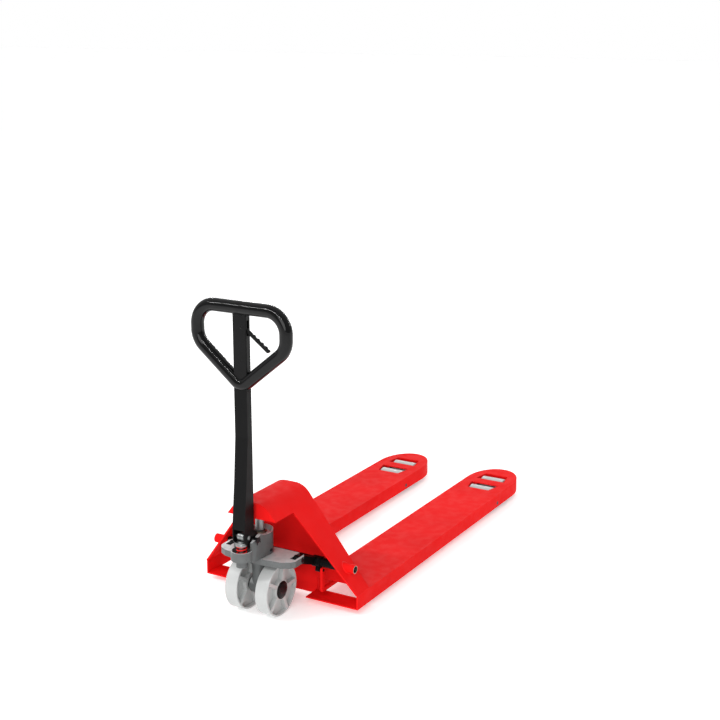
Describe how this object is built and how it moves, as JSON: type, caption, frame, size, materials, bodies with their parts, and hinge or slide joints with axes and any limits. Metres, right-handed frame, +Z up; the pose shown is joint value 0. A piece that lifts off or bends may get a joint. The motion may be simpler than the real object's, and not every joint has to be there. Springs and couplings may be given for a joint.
{
  "type": "pallet jack",
  "caption": "Hand pallet truck: channel forks on a hooded frame, steering pump with drawbar handle and nylon wheels, tandem load rollers at the fork tips.",
  "frame": {"origin": "on the floor under the middle of the bounding box", "axes": "+X towards the fork tips, +Y to the operator's left when facing the forks, +Z up"},
  "size_m": [1.46, 0.54, 0.9445],
  "materials": {
    "red_paint": "glossy powder coat",
    "black_paint": "satin black powder coat",
    "handle_coating": "thick glossy black coating on tube",
    "black_plastic": "moulded",
    "casting": "grey painted casting",
    "steel": "turned and zinc plated",
    "ram_chrome": "hard chrome",
    "bronze": "plain bearing bronze",
    "spring_paint": "red spring wire",
    "nylon": "solid pale nylon"
  },
  "bodies": {
    "base": {"thrust_plate": "casting", "wing_pins": "steel", "thrust_washer": "steel"},
    "pump": {"pump_casting": "casting", "retaining_ring": "steel", "ram_gland": "bronze", "handle_pivot_pin": "steel", "steer_axle": "steel", "plunger_gland": "bronze", "filler_plug": "steel"},
    "ram": {"ram": "ram_chrome"},
    "plunger": {"plunger": "steel", "plunger_spring": "spring_paint"},
    "valve_lever": {"valve_lever": "steel"},
    "handle": {"handle_column": "black_paint", "handle_loop": "handle_coating", "control_housing": "black_plastic", "push_roller_pin": "steel", "pivot_sleeve": "steel", "lever_pin": "steel"},
    "push_roller": {"push_roller": "steel"},
    "release_lever": {"release_lever": "black_plastic"},
    "release_rod": {"release_rod": "steel"},
    "steer_wheel_left": {"steer_wheel_left": "nylon", "wheel_bearings_left": "steel", "hub_cap_left": "black_plastic"},
    "steer_wheel_right": {"steer_wheel_right": "nylon", "wheel_bearings_right": "steel", "hub_cap_right": "black_plastic"},
    "chassis": {"fork_left": "red_paint", "fork_right": "red_paint", "hood": "red_paint", "hood_front": "red_paint", "back_wall": "red_paint", "heel_plates": "red_paint", "torsion_bosses": "red_paint", "torsion_bushes": "bronze", "arm_pivot_pins": "steel", "ram_seat": "red_paint"},
    "rocker": {"torsion_shaft": "steel", "torsion_tube": "black_paint", "rocker_arm_left": "black_paint", "rocker_arm_right": "black_paint", "push_lug_left": "black_paint", "push_lug_right": "black_paint"},
    "push_bar_left": {"push_bar_left": "red_paint"},
    "load_arm_left": {"load_arm_left": "steel", "bogie_pin_left": "steel"},
    "bogie_left": {"bogie_left": "steel", "roller_axles_left": "steel"},
    "load_roller_front_left": {"load_roller_front_left": "nylon"},
    "load_roller_back_left": {"load_roller_back_left": "nylon"},
    "push_bar_right": {"push_bar_right": "red_paint"},
    "load_arm_right": {"load_arm_right": "steel", "bogie_pin_right": "steel"},
    "bogie_right": {"bogie_right": "steel", "roller_axles_right": "steel"},
    "load_roller_front_right": {"load_roller_front_right": "nylon"},
    "load_roller_back_right": {"load_roller_back_right": "nylon"}
  },
  "joints": [
    {"name": "steer", "type": "hinge", "parent": "base", "child": "pump", "pos_m": [-0.605, 0, 0.18], "axis": [0, 0, 1], "range_deg": [-27, 27]},
    {"name": "lift", "type": "slide", "parent": "base", "child": "chassis", "axis": [0, 0, 1], "range_m": [0, 0.09]},
    {"name": "ram_rise", "type": "slide", "parent": "pump", "child": "ram", "axis": [0, 0, 1], "range_m": [0, 0.09]},
    {"name": "handle_tilt", "type": "hinge", "parent": "pump", "child": "handle", "pos_m": [-0.671, 0, 0.249], "axis": [0, -1, 0], "range_deg": [0, 68]},
    {"name": "plunger_stroke", "type": "slide", "parent": "pump", "child": "plunger", "axis": [0, 0, 1], "range_m": [-0.0302, 0], "stiffness_N_per_m": 2500, "springref_m": 0.02, "deforming": ["plunger_spring"]},
    {"name": "push_roller_spin", "type": "hinge", "parent": "handle", "child": "push_roller", "pos_m": [-0.694, 0, 0.262], "axis": [0, 1, 0], "continuous": true},
    {"name": "release_squeeze", "type": "hinge", "parent": "handle", "child": "release_lever", "pos_m": [-0.677, -0.008, 0.873], "axis": [1, 0, 0], "range_deg": [-14, 10], "stiffness_Nm_per_rad": 2},
    {"name": "release_rod_slide", "type": "slide", "parent": "handle", "child": "release_rod", "axis": [0, 0, 1], "range_m": [-0.0036, 0.0026]},
    {"name": "valve_turn", "type": "hinge", "parent": "pump", "child": "valve_lever", "pos_m": [-0.627, 0.04, 0.208], "axis": [0, 1, 0], "range_deg": [-14.5, 10.5]},
    {"name": "steer_wheel_spin_left", "type": "hinge", "parent": "pump", "child": "steer_wheel_left", "pos_m": [-0.605, 0.0527, 0.0793], "axis": [0, 1, 0], "continuous": true},
    {"name": "steer_wheel_spin_right", "type": "hinge", "parent": "pump", "child": "steer_wheel_right", "pos_m": [-0.605, -0.0527, 0.0793], "axis": [0, 1, 0], "continuous": true},
    {"name": "rocker_turn", "type": "hinge", "parent": "chassis", "child": "rocker", "pos_m": [-0.4796, 0, 0.133], "axis": [0, 1, 0], "range_deg": [-48.3, 0]},
    {"name": "push_bar_slide_left", "type": "slide", "parent": "chassis", "child": "push_bar_left", "axis": [1, 0, 0], "range_m": [0, 0.0183]},
    {"name": "load_arm_turn_left", "type": "hinge", "parent": "chassis", "child": "load_arm_left", "pos_m": [0.474, 0.182, 0.0335], "axis": [0, 1, 0], "range_deg": [0, 59.2]},
    {"name": "bogie_turn_left", "type": "hinge", "parent": "load_arm_left", "child": "bogie_left", "pos_m": [0.58, 0.182, 0.0315], "axis": [0, 1, 0], "range_deg": [-59.2, 0]},
    {"name": "roller_spin_front_left", "type": "hinge", "parent": "bogie_left", "child": "load_roller_front_left", "pos_m": [0.6295, 0.182, 0.0315], "axis": [0, 1, 0], "continuous": true},
    {"name": "roller_spin_back_left", "type": "hinge", "parent": "bogie_left", "child": "load_roller_back_left", "pos_m": [0.5305, 0.182, 0.0315], "axis": [0, 1, 0], "continuous": true},
    {"name": "push_bar_slide_right", "type": "slide", "parent": "chassis", "child": "push_bar_right", "axis": [1, 0, 0], "range_m": [0, 0.0183]},
    {"name": "load_arm_turn_right", "type": "hinge", "parent": "chassis", "child": "load_arm_right", "pos_m": [0.474, -0.182, 0.0335], "axis": [0, 1, 0], "range_deg": [0, 59.2]},
    {"name": "bogie_turn_right", "type": "hinge", "parent": "load_arm_right", "child": "bogie_right", "pos_m": [0.58, -0.182, 0.0315], "axis": [0, 1, 0], "range_deg": [-59.2, 0]},
    {"name": "roller_spin_front_right", "type": "hinge", "parent": "bogie_right", "child": "load_roller_front_right", "pos_m": [0.6295, -0.182, 0.0315], "axis": [0, 1, 0], "continuous": true},
    {"name": "roller_spin_back_right", "type": "hinge", "parent": "bogie_right", "child": "load_roller_back_right", "pos_m": [0.5305, -0.182, 0.0315], "axis": [0, 1, 0], "continuous": true}
  ],
  "couplings": [
    {"joint": "ram_rise", "follows": "lift", "ratio": 1},
    {"joint": "plunger_stroke", "follows": "handle_tilt", "m_per_rad": -0.025362},
    {"joint": "release_rod_slide", "follows": "release_squeeze", "m_per_rad": 0.014},
    {"joint": "valve_turn", "follows": "release_squeeze", "ratio": 1},
    {"joint": "rocker_turn", "follows": "lift", "rad_per_m": -9.3552},
    {"joint": "push_bar_slide_left", "follows": "lift", "ratio": 0.20281},
    {"joint": "load_arm_turn_left", "follows": "lift", "rad_per_m": 11.465},
    {"joint": "bogie_turn_left", "follows": "lift", "rad_per_m": -11.465},
    {"joint": "push_bar_slide_right", "follows": "lift", "ratio": 0.20281},
    {"joint": "load_arm_turn_right", "follows": "lift", "rad_per_m": 11.465},
    {"joint": "bogie_turn_right", "follows": "lift", "rad_per_m": -11.465}
  ]
}
